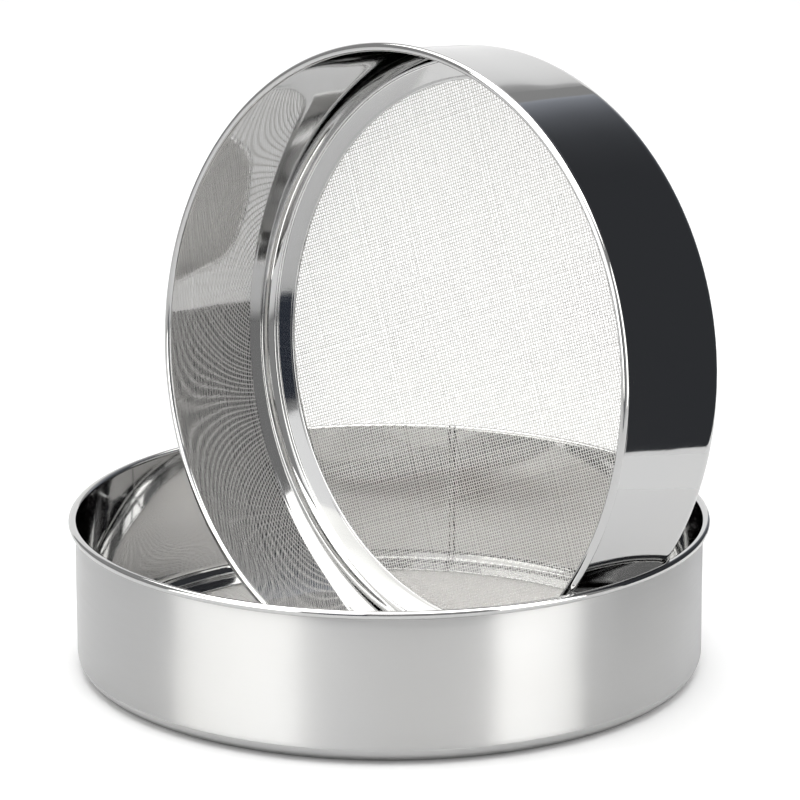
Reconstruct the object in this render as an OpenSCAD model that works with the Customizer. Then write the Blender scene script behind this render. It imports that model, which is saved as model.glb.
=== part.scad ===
// Soil sieve set: two round steel sieves, the smaller one standing nearly upright
// inside the larger one. Each sieve is a rolled drum with a wired rim, a woven mesh
// floor and a clamp ring pressed in over the edge of the mesh.
// Millimetres. Origin: centre of the lower sieve's bottom. +Z up, the upper sieve's
// open side faces -Y.

/* [Sieves] */
// Outside diameter of the lower sieve's wall
lower_d = 200; // [198:1:202]
// Height of the lower sieve
lower_h = 49.5; // [47:0.5:52]
// Outside diameter of the upper sieve's wall
upper_d = 196; // [190:0.5:196]
// Height of the upper sieve
upper_h = 48.5; // [46:0.5:49]
// Thickness of the drum's and the clamp ring's sheet
sheet = 0.5; // [0.4:0.05:0.6]

/* [Rim and bottom fold] */
// Outside diameter of the rolled rim
bead_d = 2.7; // [2.4:0.1:3.2]
// Running clearance round the wire inside the rolled rim
wire_play = 0.05; // [0.03:0.01:0.1]
// Outside radius of the fold between wall and bottom flange
fold_r = 6; // [5:0.25:6.5]
// Width of the bottom flange, measured from the outside of the wall
flange_w = 10; // [8.5:0.5:10.5]

/* [Mesh] */
// Diameter of the woven wires, and the depth of each layer of them
mesh_wire_d = 0.26; // [0.2:0.01:0.32]

/* [Clamp ring] */
// Inner radius of the clamp ring as a share of the drum's radius
lip_ratio = 0.89; // [0.88:0.005:0.9]
// Width of the flat lip that presses on the mesh
lip_w = 1.3; // [1:0.1:1.6]
// How far the ring's sloping face climbs from the lip to the leg
slope_rise = 0.7; // [0.5:0.1:1.2]
// Height of the ring's leg above the slope, up to the middle of its hem
leg_h = 0.8; // [0.7:0.1:1.5]
// Diameter of the hem along the top of the leg
hem_d = 0.9; // [0.8:0.1:1.2]
// Distance from the outside of the drum's wall to the ring's leg
leg_inset = 3.4; // [3:0.1:3.8]

/* [Joints] */
// Width of the welded joints that close the drum and the ring
seam_w = 1.2; // [0.8:0.1:2]
// Direction of the lower sieve's joints
lower_seam_angle = 122; // [100:1:160]
// Direction of the upper sieve's joints, where 270 is its lowest point
upper_seam_angle = 270; // [260:1:290]

/* [Stance] */
// How far the upper sieve leans back from upright, in degrees
lean = 6.3; // [5.5:0.1:7]
// Sideways place of the upper sieve inside the lower one
stand_x = 12.6; // [10:0.1:12.6]
// Forward place of the upper sieve's bottom
stand_y = 32.8; // [30:0.1:32.8]
// Clearance under the upper sieve
rest_gap = 0.3; // [0.3:0.1:1]

/* [Hidden] */
$fn = 96;

lower_r = lower_d / 2;
upper_r = upper_d / 2;

bead_bore_d = bead_d - 2 * sheet;
rim_wire_d = bead_bore_d - 2 * wire_play;

// Heights of the layers on the bottom flange: warp wires, weft wires, clamp ring.
warp_z = sheet;
weft_z = warp_z + mesh_wire_d;
ring_z = weft_z + mesh_wire_d;

// The ring's bend reaches in from the leg by bend_w and up by bend_h.
bend_w = 0.8;
bend_h = 0.4;
// Thickness of the rim's edge where it is tucked in against the wall.
tuck_t = 0.8 * sheet;

// Height of the upper sieve's bottom centre when the fold of its lowest edge stands
// rest_gap above the lower sieve's mesh.
stand_z = ring_z + rest_gap
    + (upper_r - fold_r) * cos(lean) - fold_r * sin(lean) + fold_r;

function unit(v) = v / norm(v);
function left_of(v) = [-v.y, v.x];

// Point i of a path, moved to the left of the path by t, with mitred corners.
function beside(path, i, t) =
    let (
        last = len(path) - 1,
        before = unit(path[max(i, 1)] - path[max(i, 1) - 1]),
        after = unit(path[min(i, last - 1) + 1] - path[min(i, last - 1)]),
        normal = unit(left_of(before) + left_of(after))
    )
    path[i] + normal * t / (normal * left_of(before));

// A strip of sheet whose lower or outer face follows a path.
module strip(path, t) {
    last = len(path) - 1;
    polygon(concat(path, [for (i = [last:-1:0]) beside(path, i, t)]));
}

// Radius of the outer face of the clamp ring's leg.
function leg_r(r) = r - leg_inset;

// Lower and outer face of the clamp ring, from the lip's edge to the hem.
function ring_path(r) = [
    [r * lip_ratio, ring_z],
    [r * lip_ratio + lip_w, ring_z],
    [leg_r(r) - bend_w, ring_z + slope_rise],
    [leg_r(r), ring_z + slope_rise + bend_h],
    [leg_r(r), ring_z + slope_rise + bend_h + leg_h],
];

// Section through the drum: bottom flange, fold, wall and rolled rim with its edge
// tucked in against the wall.
module drum_section(r, h) {
    translate([r - flange_w, 0]) square([flange_w - fold_r, sheet]);
    translate([r - fold_r, fold_r]) intersection() {
        difference() {
            circle(r = fold_r);
            circle(r = fold_r - sheet);
        }
        translate([0, -fold_r]) square(fold_r);
    }
    translate([r - sheet, fold_r]) square([sheet, h - bead_d / 2 - fold_r]);
    translate([r - sheet + bead_d / 2, h - bead_d / 2]) difference() {
        circle(d = bead_d);
        circle(d = bead_bore_d);
    }
    translate([r - sheet, h - bead_d]) square([bead_d / 2, tuck_t]);
}

// Section through the clamp ring: lip, slope, bend, leg and hem.
module ring_section(r) {
    strip(ring_path(r), sheet);
    translate([leg_r(r) - hem_d / 2, ring_z + slope_rise + bend_h + leg_h])
        circle(d = hem_d);
}

// The narrow upright slab in which a joint is welded.
module seam_slab(r, h, angle) {
    rotate(angle) translate([r / 2, -seam_w / 2, -1]) cube([r, seam_w, h + 2]);
}

// Wall of one sieve, with its joint left out.
module drum(r, h, angle) {
    difference() {
        rotate_extrude() drum_section(r, h);
        seam_slab(r, h, angle);
    }
}

// Weld that closes the wall, ground flush.
module wall_seam(r, h, angle) {
    intersection() {
        rotate_extrude() drum_section(r, h);
        seam_slab(r, h, angle);
    }
}

// Wire inside the rolled rim.
module rim_wire(r, h) {
    rotate_extrude()
        translate([r - sheet + bead_d / 2, h - bead_d / 2])
            circle(d = rim_wire_d);
}

// One layer of the woven mesh, out to where the fold begins.
module mesh_layer(r, z) {
    translate([0, 0, z]) cylinder(r = r - fold_r, h = mesh_wire_d);
}

// Ring over the mesh's edge, with its joint left out.
module clamp_ring(r, h, angle) {
    difference() {
        rotate_extrude() ring_section(r);
        seam_slab(r, h, angle);
    }
}

// Weld that closes the clamp ring.
module ring_seam(r, h, angle) {
    intersection() {
        rotate_extrude() ring_section(r);
        seam_slab(r, h, angle);
    }
}

// Places a sieve that lies with its bottom at the origin into the upper stance.
module in_stance() {
    translate([stand_x, stand_y, stand_z]) rotate([90 - lean, 0, 0]) children();
}

module lower_drum() { color("gainsboro") drum(lower_r, lower_h, lower_seam_angle); }
module lower_rim_wire() { color("dimgray") rim_wire(lower_r, lower_h); }
module lower_wall_seam() { color("silver") wall_seam(lower_r, lower_h, lower_seam_angle); }
module lower_mesh_warp() { color("darkgray") mesh_layer(lower_r, warp_z); }
module lower_mesh_weft() { color("lightgray") mesh_layer(lower_r, weft_z); }
module lower_clamp_ring() { color("silver") clamp_ring(lower_r, lower_h, lower_seam_angle); }
module lower_ring_seam() { color("gray") ring_seam(lower_r, lower_h, lower_seam_angle); }

module upper_drum() {
    color("gainsboro") in_stance() drum(upper_r, upper_h, upper_seam_angle);
}
module upper_rim_wire() {
    color("dimgray") in_stance() rim_wire(upper_r, upper_h);
}
module upper_wall_seam() {
    color("silver") in_stance() wall_seam(upper_r, upper_h, upper_seam_angle);
}
module upper_mesh_warp() {
    color("darkgray") in_stance() mesh_layer(upper_r, warp_z);
}
module upper_mesh_weft() {
    color("lightgray") in_stance() mesh_layer(upper_r, weft_z);
}
module upper_clamp_ring() {
    color("silver") in_stance() clamp_ring(upper_r, upper_h, upper_seam_angle);
}
module upper_ring_seam() {
    color("gray") in_stance() ring_seam(upper_r, upper_h, upper_seam_angle);
}

lower_drum();
lower_rim_wire();
lower_wall_seam();
lower_mesh_warp();
lower_mesh_weft();
lower_clamp_ring();
lower_ring_seam();
upper_drum();
upper_rim_wire();
upper_wall_seam();
upper_mesh_warp();
upper_mesh_weft();
upper_clamp_ring();
upper_ring_seam();
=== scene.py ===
"""Looks of the soil sieve set: polished drums and rings, woven wire floors, studio."""

import math

import bpy
import numpy as np
from mathutils import Matrix, Vector


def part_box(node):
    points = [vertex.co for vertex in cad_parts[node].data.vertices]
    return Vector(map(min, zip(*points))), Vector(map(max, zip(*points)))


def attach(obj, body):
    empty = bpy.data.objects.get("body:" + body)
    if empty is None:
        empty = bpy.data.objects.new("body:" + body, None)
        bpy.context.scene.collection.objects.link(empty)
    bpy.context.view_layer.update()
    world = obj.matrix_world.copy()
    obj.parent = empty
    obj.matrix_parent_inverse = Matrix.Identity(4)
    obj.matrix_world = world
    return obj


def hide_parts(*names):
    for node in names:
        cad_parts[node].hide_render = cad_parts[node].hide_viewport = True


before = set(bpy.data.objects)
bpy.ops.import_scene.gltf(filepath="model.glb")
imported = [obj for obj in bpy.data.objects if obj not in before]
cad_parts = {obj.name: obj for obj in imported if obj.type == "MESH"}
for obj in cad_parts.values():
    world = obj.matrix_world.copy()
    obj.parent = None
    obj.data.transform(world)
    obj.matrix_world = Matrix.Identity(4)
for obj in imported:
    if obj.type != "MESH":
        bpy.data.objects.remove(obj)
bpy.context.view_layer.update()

MM = 0.001

# ---------------------------------------------------------------- driving sizes
SHEET = 0.5 * MM  # thickness of the drums' and rings' sheet
BEAD_D = 2.7 * MM  # outside diameter of the rolled rim
FOLD_R = 6.0 * MM  # outside radius of the fold at the bottom
FLANGE_W = 10.0 * MM  # width of the bottom flange
WIRE_D = 0.26 * MM  # diameter of the woven wires
MESH_PITCH = 1.0 * MM  # spacing of the woven wires
MESH_PLAY = 0.22 * MM  # how far a wire strays from even spacing
MESH_TURN = 23.0  # degrees that the weave is turned in its plane
MESH_REACH = 0.93  # radius of the woven disc as a share of the drum's radius
LIP_RATIO = 0.89  # inner radius of the clamp ring as a share of the drum's radius
LIP_W = 1.3 * MM
SLOPE_RISE = 0.7 * MM
LEG_H = 0.8 * MM
HEM_D = 0.9 * MM
LEG_INSET = 3.4 * MM  # from the outside of the wall to the ring's leg
BEND_W = 0.8 * MM
BEND_H = 0.4 * MM
SEAM_W = 1.2 * MM  # width of the welded joints
WALL_SWELL = 0.045 * MM  # height of the largest wave in the rolled walls
LOWER_HEIGHT = 49.5 * MM
UPPER_HEIGHT = 48.5 * MM
LOWER_SEAM = 122  # degrees, direction of the lower sieve's joints
UPPER_SEAM = 270  # degrees, direction of the upper sieve's joints, its lowest point
LEAN = 6.3  # degrees that the upper sieve leans back from upright

RING_Z = SHEET + 2 * WIRE_D  # underside of the clamp ring
CURL_END = -116  # degrees at which the rolled rim's edge ends, short of the wall
BEND_GAP = 0.2 * MM  # from a bend to the next point of the straight sheet
RING_BENDS = [3.0 * MM, 0.8 * MM, 0.4 * MM]  # radii of the clamp ring's bends, from the lip up
HEM_START = 250  # degrees at which the hem leaves the clamp ring's leg
# Waves in the rolled walls: count round the wall, twist with height, phase and share of WALL_SWELL.
WALL_WAVES = [(3, 5, 0, 1.0), (7, -4, 1, 0.7), (13, 7, 2, 0.45)]
MESH_SEED = 11  # start of the random draws for the wires' places
MESH_RARITY = 5  # odd power that leaves most wires almost even and only a few far out

SEGMENTS = 512  # steps of a full turn
JOINT_STEPS = 4  # steps across a welded joint
FOLD_STEPS = 16
CURL_STEPS = 36
WALL_STEPS = 30
FLANGE_STEPS = 6
HEM_STEPS = 18
WIRE_SIDES = 6


class Sieve:
    """One sieve's radius, height, joint direction and place."""

    def __init__(self, name, height, seam_angle, turn):
        low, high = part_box(name + "_mesh_warp")
        self.name = name
        self.body = name + "_sieve"
        self.radius = (high.x - low.x) / 2 + FOLD_R
        self.height = height
        self.seam_angle = math.radians(seam_angle)
        bottom = (low + high) / 2 - turn @ Vector((0, 0, SHEET + WIRE_D / 2))
        self.place = Matrix.Translation(bottom) @ turn.to_4x4()


SIEVES = [
    Sieve("lower", LOWER_HEIGHT, LOWER_SEAM, Matrix.Identity(3)),
    Sieve("upper", UPPER_HEIGHT, UPPER_SEAM, Matrix.Rotation(math.radians(90 - LEAN), 3, "X")),
]


# ---------------------------------------------------------------- materials
def new_material(name):
    """A node material, its tree and its Principled shader."""
    material = bpy.data.materials.new(name)
    material.use_nodes = True
    tree = material.node_tree
    return material, tree, tree.nodes["Principled BSDF"]


def node(tree, kind, **values):
    """Adds a node and sets its input sockets by name."""
    made = tree.nodes.new(kind)
    for key, value in values.items():
        made.inputs[key.replace("_", " ")].default_value = value
    return made


def ramp(tree, factor, low, high, dark, light):
    """Maps factor from low..high to the grey values dark..light."""
    mapped = tree.nodes.new("ShaderNodeMapRange")
    mapped.clamp = True
    mapped.inputs["From Min"].default_value = low
    mapped.inputs["From Max"].default_value = high
    mapped.inputs["To Min"].default_value = dark
    mapped.inputs["To Max"].default_value = light
    tree.links.new(factor, mapped.inputs["Value"])
    return mapped.outputs["Result"]


POLISH_STRETCH = (30, 30, 2600)  # polish lines lie level, so they change fastest along z
POLISH_DEPTH = 0.02 * MM


def sheet_metal(name, grey, roughness, spread, dent):
    """Polished stainless sheet with faint level polish lines: material, tree and shader."""
    material, tree, shader = new_material(name)
    shader.inputs["Metallic"].default_value = 1.0
    coords = tree.nodes.new("ShaderNodeTexCoord")
    cloud = node(tree, "ShaderNodeTexNoise", Scale=18.0, Detail=3.0)
    tree.links.new(coords.outputs["Object"], cloud.inputs["Vector"])
    tint = tree.nodes.new("ShaderNodeMix")
    tint.data_type = "RGBA"
    tint.inputs["A"].default_value = (grey * 0.985, grey * 0.99, grey, 1)
    tint.inputs["B"].default_value = (grey * 1.02, grey * 1.015, grey, 1)
    tree.links.new(cloud.outputs["Fac"], tint.inputs["Factor"])
    tree.links.new(tint.outputs["Result"], shader.inputs["Base Color"])
    lines = node(tree, "ShaderNodeTexNoise", Scale=1.0, Detail=4.0)
    stretch = tree.nodes.new("ShaderNodeMapping")
    stretch.inputs["Scale"].default_value = POLISH_STRETCH
    tree.links.new(coords.outputs["Object"], stretch.inputs["Vector"])
    tree.links.new(stretch.outputs["Vector"], lines.inputs["Vector"])
    rough = ramp(tree, lines.outputs["Fac"], 0.3, 0.7, roughness - spread, roughness + spread)
    tree.links.new(rough, shader.inputs["Roughness"])
    bump = node(tree, "ShaderNodeBump", Strength=dent, Distance=POLISH_DEPTH)
    tree.links.new(lines.outputs["Fac"], bump.inputs["Height"])
    tree.links.new(bump.outputs["Normal"], shader.inputs["Normal"])
    return material, tree, shader


def satin_metal():
    """Outer face of the lower drum: brushed round its length."""
    material, tree, shader = sheet_metal(
        "satin_sheet", grey=0.63, roughness=0.37, spread=0.03, dent=0.1)
    shader.inputs["Anisotropic"].default_value = 0.97
    shader.inputs["Anisotropic Rotation"].default_value = 0.25
    tangent = tree.nodes.new("ShaderNodeTangent")
    tangent.direction_type = "RADIAL"
    tangent.axis = "Z"
    tree.links.new(tangent.outputs["Tangent"], shader.inputs["Tangent"])
    return material


WIRE_SPREAD = 0.05  # how far a wire's roughness varies


def wire_metal(name, grey, roughness):
    """Drawn wire with small changes of shade from place to place."""
    material, tree, shader = new_material(name)
    shader.inputs["Metallic"].default_value = 1.0
    coords = tree.nodes.new("ShaderNodeTexCoord")
    cloud = node(tree, "ShaderNodeTexNoise", Scale=120.0, Detail=2.0)
    tree.links.new(coords.outputs["Object"], cloud.inputs["Vector"])
    tint = tree.nodes.new("ShaderNodeMix")
    tint.data_type = "RGBA"
    tint.inputs["A"].default_value = (grey * 0.95, grey * 0.935, grey * 0.915, 1)
    tint.inputs["B"].default_value = (grey * 1.05, grey * 1.04, grey * 1.025, 1)
    tree.links.new(cloud.outputs["Fac"], tint.inputs["Factor"])
    tree.links.new(tint.outputs["Result"], shader.inputs["Base Color"])
    rough = ramp(tree, cloud.outputs["Fac"], 0.3, 0.7, roughness - WIRE_SPREAD, roughness + WIRE_SPREAD)
    tree.links.new(rough, shader.inputs["Roughness"])
    return material


MIRROR = sheet_metal("mirror_sheet", grey=0.6, roughness=0.05, spread=0.02, dent=0.05)[0]
RING_SHEET = sheet_metal("ring_sheet", grey=0.7, roughness=0.08, spread=0.03, dent=0.06)[0]
SATIN = satin_metal()
MESH_WIRE = wire_metal("woven_wire", grey=0.77, roughness=0.62)
RIM_WIRE = wire_metal("rim_wire", grey=0.45, roughness=0.4)
# The welds are ground flush, so they are nearly as bright as the sheet.
WELD = sheet_metal("weld_bead", grey=0.6, roughness=0.08, spread=0.03, dent=0.08)[0]


# ---------------------------------------------------------------- sections
def arc(centre, radius, start, end, steps):
    """Points of an arc between two directions in degrees, both ends included."""
    angles = np.radians(np.linspace(start, end, steps + 1))
    return [(centre[0] + radius * math.cos(a), centre[1] + radius * math.sin(a)) for a in angles]


def line(start, end, steps):
    """Points between two ends, neither end included."""
    shares = [i / steps for i in range(1, steps)]
    return [(start[0] + (end[0] - start[0]) * s, start[1] + (end[1] - start[1]) * s) for s in shares]


def rounded(corners, radii, steps=6):
    """A path through corners, with each inner corner turned into an arc."""
    path = [Vector(corners[0])]
    for before, corner, after, radius in zip(corners, corners[1:], corners[2:], radii):
        here = Vector(corner)
        back = (Vector(before) - here).normalized()
        on = (Vector(after) - here).normalized()
        half = back.angle(on) / 2
        centre = here + (back + on).normalized() * radius / math.sin(half)
        first = here + back * radius / math.tan(half) - centre
        last = here + on * radius / math.tan(half) - centre
        turn = first.angle_signed(last)
        for i in range(steps + 1):
            path.append(centre + Matrix.Rotation(-turn * i / steps, 2) @ first)
    path.append(Vector(corners[-1]))
    return [tuple(p) for p in path]


def thicken(path, thickness, tip=None, cap_steps=6):
    """Closed outline of a strip whose middle follows path, round at its ends or with a given tip."""
    points = np.array(path)
    steps = np.diff(points, axis=0)
    steps /= np.linalg.norm(steps, axis=1)[:, None]
    along = np.vstack([steps[:1], steps[:-1] + steps[1:], steps[-1:]])
    along /= np.linalg.norm(along, axis=1)[:, None]
    side = np.stack([-along[:, 1], along[:, 0]], 1) * thickness / 2
    caps = []
    for centre, (x, y) in ((points[-1], side[-1]), (points[0], -side[0])):
        turn = math.atan2(y, x) - np.linspace(0, math.pi, cap_steps + 1)[1:-1]
        caps.append(centre + np.stack([np.cos(turn), np.sin(turn)], 1) * thickness / 2)
    if tip is not None:
        caps[0] = np.array(tip)
    return np.vstack([points + side, caps[0], (points - side)[::-1], caps[1]])


def drum_path(radius, height):
    """Middle line of the drum's sheet: flange, fold, wall and the rim rolled round its wire."""
    half = SHEET / 2
    bead = (radius - SHEET + BEAD_D / 2, height - BEAD_D / 2)
    fold = arc((radius - FOLD_R, FOLD_R), FOLD_R - half, -90, 0, FOLD_STEPS)
    curl = arc(bead, BEAD_D / 2 - half, 180, CURL_END, CURL_STEPS)
    foot = (radius - half, FOLD_R + BEND_GAP)
    top = (radius - half, bead[1] - BEND_GAP)
    inner = (radius - FLANGE_W, half)
    wall = [foot] + line(foot, top, WALL_STEPS) + [top]
    flange = [inner] + line(inner, fold[0], FLANGE_STEPS) + [(fold[0][0] - BEND_GAP, half)]
    return flange + fold + wall + curl


def ring_outline(radius):
    """Section of the clamp ring: flat lip, slope, leg and the hem along the leg's top."""
    half = SHEET / 2
    leg = radius - LEG_INSET - half
    lip = radius * LIP_RATIO
    top = RING_Z + SLOPE_RISE + BEND_H + LEG_H
    corners = [
        (lip + half, RING_Z + half),
        (lip + LIP_W, RING_Z + half),
        (leg - BEND_W + half, RING_Z + SLOPE_RISE + half),
        (leg, RING_Z + SLOPE_RISE + BEND_H + half),
        (leg, top),
    ]
    path = rounded(corners, RING_BENDS)
    hem = arc((leg + half - HEM_D / 2, top), HEM_D / 2, HEM_START, 0, HEM_STEPS)
    path[-1] = (leg, hem[0][1])
    return thicken(path, SHEET, hem[1:])


# ---------------------------------------------------------------- meshes
def make_object(name, vertices, faces, materials, sieve, replaced):
    """A mesh piece in a sieve's place, riding on its body, smooth but for its flat end caps."""
    mesh = bpy.data.meshes.new(name)
    vertices = np.asarray(vertices, np.float64)
    turn = np.array(sieve.place)
    placed = vertices @ turn[:3, :3].T + turn[:3, 3]
    mesh.from_pydata(placed.tolist(), [], faces)
    for material in materials:
        mesh.materials.append(material)
    corners = np.empty(len(mesh.polygons), np.int32)
    mesh.polygons.foreach_get("loop_total", corners)
    mesh.polygons.foreach_set("use_smooth", corners <= 4)
    piece = bpy.data.objects.new(name, mesh)
    bpy.context.scene.collection.objects.link(piece)
    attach(piece, sieve.body)
    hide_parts(*replaced)
    return piece


def sweep(outline, start, end, steps, shift=None):
    """Vertices and faces of an outline swept round the axis, closed at both ends."""
    outline = np.asarray(outline)
    count = len(outline)
    angles = np.linspace(start, end, steps + 1)
    vertices = []
    for angle in angles:
        section = outline if shift is None else outline + shift(angle, outline)
        r, z = section[:, 0], section[:, 1]
        vertices.append(np.stack([r * math.cos(angle), r * math.sin(angle), z], 1))
    faces = []
    for i in range(steps):
        for j in range(count):
            k = (j + 1) % count
            faces.append((i * count + j, i * count + k, (i + 1) * count + k, (i + 1) * count + j))
    faces.append(tuple(range(count - 1, -1, -1)))
    faces.append(tuple(steps * count + j for j in range(count)))
    return np.vstack(vertices), faces


def waves(sieve):
    """Shift that leaves the rolled wall uneven by up to about a tenth of a millimetre."""
    foot, top = FOLD_R, sieve.height - BEAD_D

    def shift(angle, outline):
        share = np.clip((outline[:, 1] - foot) / (top - foot), 0, 1)
        swell = sum(size * np.sin(count * angle + twist * share + phase)
                    for count, twist, phase, size in WALL_WAVES)
        on_wall = outline[:, 0] > sieve.radius - 2 * SHEET
        moved = np.where(on_wall, WALL_SWELL * swell * np.sin(np.pi * share) ** 2, 0)
        return np.stack([moved, np.zeros(len(outline))], 1)

    return shift


def make_drum(sieve):
    """The drum's sheet, open at its joint."""
    outline = thicken(drum_path(sieve.radius, sieve.height), SHEET)
    gap = SEAM_W / sieve.radius / 2
    start = sieve.seam_angle + gap
    end = sieve.seam_angle + 2 * math.pi - gap
    vertices, faces = sweep(outline, start, end, SEGMENTS, waves(sieve))
    outer = SATIN if sieve.name == "lower" else MIRROR
    piece = make_object(sieve.name + "_drum_sheet", vertices, faces, [MIRROR, outer], sieve,
                        [sieve.name + "_drum"])
    wall_face = sieve.radius - 0.1 * MM
    for polygon in piece.data.polygons:
        point = sieve.place.inverted() @ polygon.center
        if math.hypot(point.x, point.y) > wall_face and point.z < sieve.height - BEAD_D:
            polygon.material_index = 1
    return piece


def make_drum_joint(sieve):
    """The ground weld that closes the drum."""
    outline = thicken(drum_path(sieve.radius, sieve.height), SHEET)
    gap = SEAM_W / sieve.radius / 2
    start, end = sieve.seam_angle - gap, sieve.seam_angle + gap
    vertices, faces = sweep(outline, start, end, JOINT_STEPS, waves(sieve))
    return make_object(sieve.name + "_drum_joint", vertices, faces, [WELD], sieve,
                       [sieve.name + "_wall_seam"])


def make_rings(sieve):
    """The clamp ring and its joint."""
    outline = ring_outline(sieve.radius)
    gap = SEAM_W / sieve.radius / 2
    seam = sieve.seam_angle
    vertices, faces = sweep(outline, seam + gap, seam + 2 * math.pi - gap, SEGMENTS)
    make_object(sieve.name + "_ring_sheet", vertices, faces, [RING_SHEET], sieve,
                [sieve.name + "_clamp_ring"])
    vertices, faces = sweep(outline, seam - gap, seam + gap, JOINT_STEPS)
    make_object(sieve.name + "_ring_joint", vertices, faces, [WELD], sieve,
                [sieve.name + "_ring_seam"])


def wire_places(reach):
    """Distances of the wires of one direction from the middle, not quite evenly spaced."""
    draws = np.random.default_rng(MESH_SEED).uniform(-1, 1, 2 * reach + 1)
    return np.arange(-reach, reach + 1) * MESH_PITCH + MESH_PLAY * draws**MESH_RARITY


def weave(radius, across, wires, places):
    """Some wires of one direction of a plain weave, over and under the other direction."""
    sides = WIRE_SIDES
    middle = len(places) // 2
    lap = WIRE_D / 2
    ring = np.radians(np.arange(sides) * 360 / sides + 30)
    vertices, faces = [], []
    count = 0
    for i in wires:
        offset = places[middle + i]
        half = int(math.sqrt(max(radius**2 - offset**2, 0)) / MESH_PITCH)
        if half < 2:
            continue
        steps = np.arange(-half, half + 1)
        along = places[middle + steps]
        sign = 1 if across else -1
        rise = sign * lap * np.where((steps + i) % 2 == 0, 1, -1)
        u = np.repeat(along, sides)
        v = offset + np.tile(np.cos(ring), len(steps)) * WIRE_D / 2
        w = np.repeat(rise, sides) + np.tile(np.sin(ring), len(steps)) * WIRE_D / 2
        points = np.stack([u, v, w] if across else [v, u, w], 1)
        vertices.append(points)
        for k in range(len(steps) - 1):
            for s in range(sides):
                n = (s + 1) % sides
                a, b = count + k * sides, count + (k + 1) * sides
                faces.append((a + s, a + n, b + n, b + s) if across else (a + s, b + s, b + n, a + n))
        first = [count + s for s in range(sides)]
        last = [count + (len(steps) - 1) * sides + s for s in range(sides)]
        faces.append(tuple(first[::-1] if across else first))
        faces.append(tuple(last if across else last[::-1]))
        count += len(points)
    return np.vstack(vertices), faces


def make_mesh(sieve):
    """The woven floor: its warp wires and its weft wires."""
    turn = math.radians(MESH_TURN)
    matrix = np.array([[math.cos(turn), -math.sin(turn), 0],
                       [math.sin(turn), math.cos(turn), 0], [0, 0, 1]])
    middle = np.array([0, 0, SHEET + WIRE_D])
    radius = sieve.radius * MESH_REACH
    reach = int(radius / MESH_PITCH)
    halves = (("near", range(-reach, 0)), ("far", range(0, reach + 1)))
    for part, across in (("warp", True), ("weft", False)):
        for half, wires in halves:
            vertices, faces = weave(radius, across, wires, wire_places(reach))
            placed = vertices @ matrix.T + middle
            make_object(f"{sieve.name}_{part}_wires_{half}", placed, faces, [MESH_WIRE], sieve,
                        [f"{sieve.name}_mesh_{part}"])


for sieve in SIEVES:
    make_drum(sieve)
    make_drum_joint(sieve)
    make_rings(sieve)
    make_mesh(sieve)
    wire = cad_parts[sieve.name + "_rim_wire"]
    wire.data.materials.clear()
    wire.data.materials.append(RIM_WIRE)


# ---------------------------------------------------------------- studio
CAMERA_AZIMUTH = 44.32
CAMERA_ELEVATION = 18.16
CAMERA_DISTANCE = 1.5077
CAMERA_LENS = 211.6
ORBIT_HEIGHT = 23.4 * MM  # height of the point that the camera stands around
AIM = Vector((2.45 * MM, 2.38 * MM, 86.36 * MM))  # point that the camera looks at


def direction(azimuth, elevation):
    """Unit vector towards an azimuth (0 is -Y, 90 is +X) and an elevation."""
    a, e = math.radians(azimuth), math.radians(elevation)
    return Vector((math.sin(a) * math.cos(e), -math.cos(a) * math.cos(e), math.sin(e)))


def glow(name, colour, strength):
    """Emitting material of a light or shade card."""
    material = bpy.data.materials.new(name)
    material.use_nodes = True
    tree = material.node_tree
    tree.nodes.clear()
    light = node(tree, "ShaderNodeEmission", Color=(*colour, 1), Strength=strength)
    output = tree.nodes.new("ShaderNodeOutputMaterial")
    tree.links.new(light.outputs["Emission"], output.inputs["Surface"])
    return material


def card(name, centre, across, up, width, height, material):
    """A flat card that only reflections see, with its own x across and its z up."""
    mesh = bpy.data.meshes.new(name)
    x, z = width / 2, height / 2
    mesh.from_pydata([(-x, 0, -z), (x, 0, -z), (x, 0, z), (-x, 0, z)], [], [(0, 1, 2, 3)])
    mesh.materials.append(material)
    made = bpy.data.objects.new(name, mesh)
    across, up = across.normalized(), up.normalized()
    turn = Matrix((across, up.cross(across), up)).transposed()
    made.matrix_world = Matrix.Translation(centre) @ turn.to_4x4()
    bpy.context.scene.collection.objects.link(made)
    made.visible_camera = False
    made.visible_diffuse = False
    made.visible_shadow = False
    return made


def standing_card(name, offset, distance, width, bottom, top, material):
    """An upright card that faces the sieves, offset degrees round from the camera."""
    facing = direction(CAMERA_AZIMUTH + offset, 0)
    across = Vector((-facing.y, facing.x, 0))
    centre = facing * distance + Vector((0, 0, (bottom + top) / 2))
    return card(name, centre, across, Vector((0, 0, 1)), width, top - bottom, material)


CARD_WOBBLE = 0.1  # metres by which a shaded card's steps waver
UP = Vector((0, 0, 1))
RIGHT = direction(CAMERA_AZIMUTH + 90, 0)
AWAY = -direction(CAMERA_AZIMUTH, 0)


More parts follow.
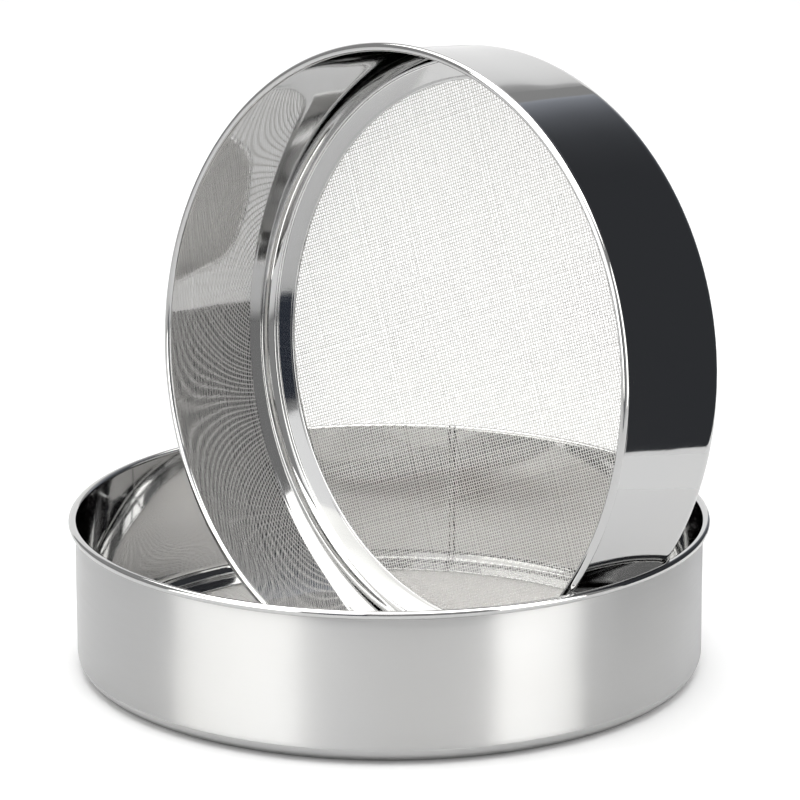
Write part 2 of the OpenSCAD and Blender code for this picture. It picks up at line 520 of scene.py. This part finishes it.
def shaded_glow(name, colour, axis, stops):
    """Emitting material whose strength changes along a card's own axis, by (metres, strength)."""
    material = glow(name, colour, 1.0)
    tree = material.node_tree
    light = next(n for n in tree.nodes if n.type == "EMISSION")
    coords = tree.nodes.new("ShaderNodeTexCoord")
    wobble = node(tree, "ShaderNodeTexNoise", Scale=5.0, Detail=1.0)
    tree.links.new(coords.outputs["Object"], wobble.inputs["Vector"])
    split = tree.nodes.new("ShaderNodeSeparateXYZ")
    tree.links.new(coords.outputs["Object"], split.inputs["Vector"])
    bent = node(tree, "ShaderNodeMath")
    bent.operation = "MULTIPLY_ADD"
    bent.inputs[1].default_value = CARD_WOBBLE
    tree.links.new(wobble.outputs["Fac"], bent.inputs[0])
    tree.links.new(split.outputs[axis], bent.inputs[2])
    low, high = stops[0][0], stops[-1][0]
    place = ramp(tree, bent.outputs["Value"], low + CARD_WOBBLE / 2, high + CARD_WOBBLE / 2, 0, 1)
    curve = tree.nodes.new("ShaderNodeFloatCurve")
    points = curve.mapping.curves[0].points
    tallest = max(strength for _, strength in stops)
    spots = [((at - low) / (high - low), strength / tallest) for at, strength in stops]
    points[0].location, points[1].location = spots[0], spots[-1]
    for spot in spots[1:-1]:
        points.new(*spot)
    curve.mapping.update()
    tree.links.new(place, curve.inputs["Value"])
    scaled = node(tree, "ShaderNodeMath")
    scaled.operation = "MULTIPLY"
    scaled.inputs[1].default_value = tallest
    tree.links.new(curve.outputs["Value"], scaled.inputs[0])
    tree.links.new(scaled.outputs["Value"], light.inputs["Strength"])
    return material


# Side light boxes to the left and right of the camera.
BOX_BOTTOM = 0.08
BOX_TOP = 1.6
BOX_STOPS = [(height - (BOX_BOTTOM + BOX_TOP) / 2, strength) for height, strength in
             [(0.9, 3.3), (1.1, 1.9)]]
standing_card("left_box", offset=-55, distance=1.3, width=1.2, bottom=BOX_BOTTOM, top=BOX_TOP,
              material=shaded_glow("left_light", (1.0, 0.995, 0.965), "Z", BOX_STOPS))
standing_card("right_box", offset=53, distance=1.3, width=0.76, bottom=0.0, top=1.0,
              material=glow("right_light", (1.0, 0.995, 0.97), 3.4))
# Dark gap beside the camera, and a light box over it.
standing_card("front_shade", offset=-15, distance=1.0, width=0.28, bottom=0.0, top=0.42,
              material=glow("shade", (0.8, 0.95, 1.3), 0.06))
standing_card("front_box", offset=-24, distance=1.2, width=0.64, bottom=0.54, top=1.3,
              material=glow("front_light", (1, 1, 1), 1.6))
# Bright backdrop behind the sieves, dimmer towards its top.
BACK_TOP = 1.5
BACK_STOPS = [(height - BACK_TOP / 2, strength) for height, strength in
              [(0.6, 1.0), (0.9, 0.95), (1.02, 0.85), (1.08, 0.5), (1.2, 0.35), (1.4, 0.3)]]
standing_card("back_card", offset=188, distance=1.6, width=1.7, bottom=0.0, top=BACK_TOP,
              material=shaded_glow("backdrop", (1.0, 1.0, 1.0), "Z", BACK_STOPS))
# Black flag along the right-hand side, less dark towards its far end.
FLAG_REACH = 0.29
FLAG_FRONT = -0.08
FLAG_BACK = 0.56
FLAG_TOP = 0.6
FLAG_STOPS = [(away - (FLAG_FRONT + FLAG_BACK) / 2, strength) for away, strength in
              [(0.1, 0.045), (0.28, 0.085), (0.4, 0.17), (0.48, 0.28), (0.56, 0.5)]]
flag_middle = RIGHT * FLAG_REACH + AWAY * (FLAG_FRONT + FLAG_BACK) / 2 + UP * FLAG_TOP / 2
card("black_flag", flag_middle, AWAY, UP, FLAG_BACK - FLAG_FRONT, FLAG_TOP,
     shaded_glow("flag", (0.92, 0.97, 1.08), "X", FLAG_STOPS))
# Low light strip between the flag and the lower sieve.
STRIP_REACH = 0.2
STRIP_LENGTH = 0.25
STRIP_TOP = 0.035
STRIP_SHIFT = 0.02
strip_middle = RIGHT * STRIP_REACH + AWAY * STRIP_SHIFT + UP * STRIP_TOP / 2
card("low_strip", strip_middle, AWAY, UP, STRIP_LENGTH, STRIP_TOP, glow("strip", (1, 1, 1), 1.02))
# Ceiling light.
CEILING_HEIGHT = 1.7
CEILING_SIDE = 2.6
card("ceiling_box", UP * CEILING_HEIGHT, RIGHT, AWAY, CEILING_SIDE, CEILING_SIDE,
     glow("ceiling", (1, 0.99, 0.975), 4.0))

TABLE_REACH = 8.0  # from the middle of the table to its edges
TABLE_GREY = 0.84  # base colour in reflections and in the light thrown back
TABLE_GREY_SEEN = 0.97  # base colour that the camera sees
TABLE_LIFT = 0.12  # glow that only the camera sees
LAMP_SIDE = 2.0
LAMP_HEIGHT = 1.8
LAMP_WATTS = 37.0
ROOM_LIGHT = 0.34


def make_floor():
    """The pale table."""
    mesh = bpy.data.meshes.new("floor")
    side = TABLE_REACH
    corners = [(-side, -side, 0), (side, -side, 0), (side, side, 0), (-side, side, 0)]
    mesh.from_pydata(corners, [], [(0, 1, 2, 3)])
    material, tree, shader = new_material("pale_table")
    path = tree.nodes.new("ShaderNodeLightPath")
    shade = ramp(tree, path.outputs["Is Camera Ray"], 0, 1, TABLE_GREY, TABLE_GREY_SEEN)
    tree.links.new(shade, shader.inputs["Base Color"])
    lift = ramp(tree, path.outputs["Is Camera Ray"], 0, 1, 0, TABLE_LIFT)
    tree.links.new(lift, shader.inputs["Emission Strength"])
    shader.inputs["Emission Color"].default_value = (1, 1, 1, 1)
    shader.inputs["Roughness"].default_value = 0.9
    shader.inputs["Specular IOR Level"].default_value = 0.1
    mesh.materials.append(material)
    floor = bpy.data.objects.new("floor", mesh)
    bpy.context.scene.collection.objects.link(floor)


def make_lamp():
    """Soft overhead lamp that lights the table."""
    data = bpy.data.lights.new("top_lamp", "AREA")
    data.shape = "SQUARE"
    data.size = LAMP_SIDE
    data.energy = LAMP_WATTS
    lamp = bpy.data.objects.new("top_lamp", data)
    lamp.location = (0, 0, LAMP_HEIGHT)
    lamp.visible_glossy = False
    bpy.context.scene.collection.objects.link(lamp)


def make_world():
    """Even room light, white where the camera looks past the table."""
    world = bpy.data.worlds.new("room")
    bpy.context.scene.world = world
    world.use_nodes = True
    tree = world.node_tree
    room = tree.nodes["Background"]
    room.inputs["Color"].default_value = (1, 1, 1, 1)
    room.inputs["Strength"].default_value = ROOM_LIGHT
    backdrop = node(tree, "ShaderNodeBackground", Color=(1, 1, 1, 1), Strength=1.0)
    path = tree.nodes.new("ShaderNodeLightPath")
    mix = tree.nodes.new("ShaderNodeMixShader")
    tree.links.new(path.outputs["Is Camera Ray"], mix.inputs["Fac"])
    tree.links.new(room.outputs["Background"], mix.inputs[1])
    tree.links.new(backdrop.outputs["Background"], mix.inputs[2])
    tree.links.new(mix.outputs["Shader"], tree.nodes["World Output"].inputs["Surface"])


def make_camera():
    """The camera, in front and to the right, looking slightly down."""
    data = bpy.data.cameras.new("camera")
    data.lens = CAMERA_LENS
    data.clip_start = 0.01
    camera = bpy.data.objects.new("camera", data)
    bpy.context.scene.collection.objects.link(camera)
    middle = UP * ORBIT_HEIGHT
    camera.location = middle + direction(CAMERA_AZIMUTH, CAMERA_ELEVATION) * CAMERA_DISTANCE
    camera.rotation_euler = (AIM - camera.location).to_track_quat("-Z", "Y").to_euler()
    bpy.context.scene.camera = camera


make_floor()
make_lamp()
make_world()
make_camera()
bpy.context.scene.view_settings.view_transform = "Standard"
